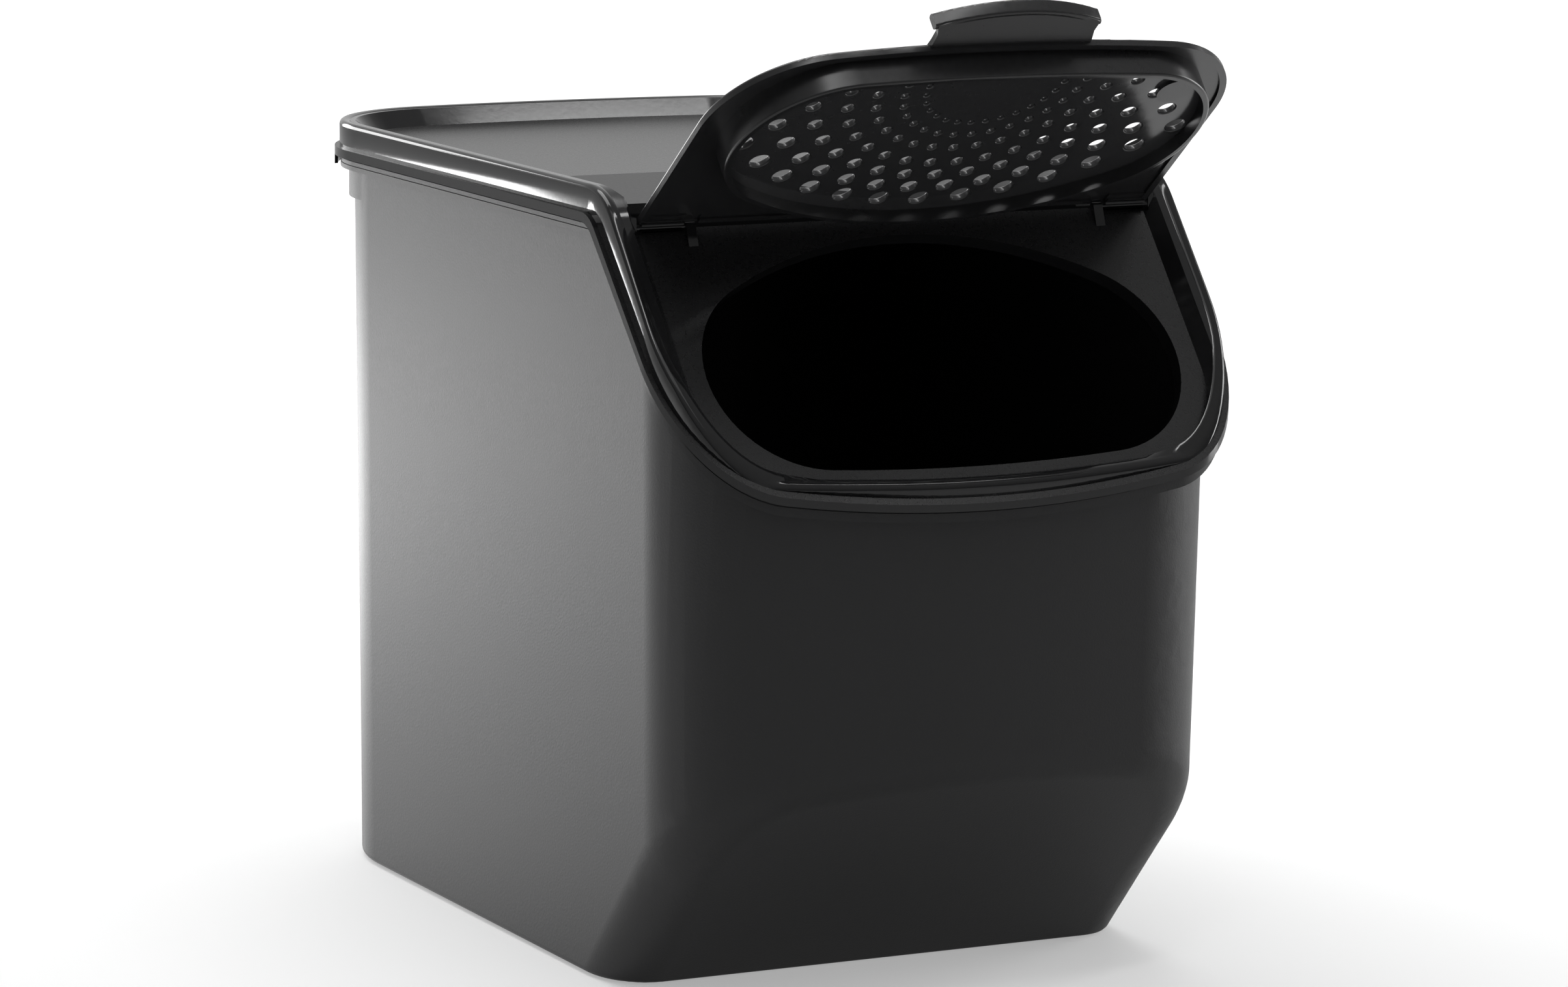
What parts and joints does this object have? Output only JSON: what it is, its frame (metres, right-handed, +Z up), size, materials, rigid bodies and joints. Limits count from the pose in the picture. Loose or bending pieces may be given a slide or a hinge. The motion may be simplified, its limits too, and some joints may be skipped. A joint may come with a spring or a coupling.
{
  "type": "potato storage bin",
  "caption": "Black moulded-plastic potato bin with a lift-off cover and a hinged, perforated flap over an oval mouth in its sloping front.",
  "frame": {"origin": "on the floor under the bin, in the middle of its plan outline (half way between the front and rear of the cover's flange)", "axes": "+Z up, -Y the front with the mouth, +X to the bin's right seen from the front"},
  "size_m": [0.196, 0.3262, 0.3045],
  "materials": {
    "container_black": "fine-grained satin polypropylene",
    "cover_black": "gloss on the raised border, satin on the panels",
    "flap_black": "smooth satin-gloss polypropylene"
  },
  "bodies": {
    "container": {"container": "container_black"},
    "cover": {"cover": "cover_black"},
    "flap": {"flap": "flap_black"}
  },
  "joints": [
    {"name": "cover_lift", "type": "slide", "parent": "container", "child": "cover", "axis": [0, 0, 1], "range_m": [0, 0.12]},
    {"name": "flap_hinge", "type": "hinge", "parent": "cover", "child": "flap", "pos_m": [0, -0.091, 0.2327], "axis": [-1, 0, 0], "range_deg": [-89, 88]}
  ]
}
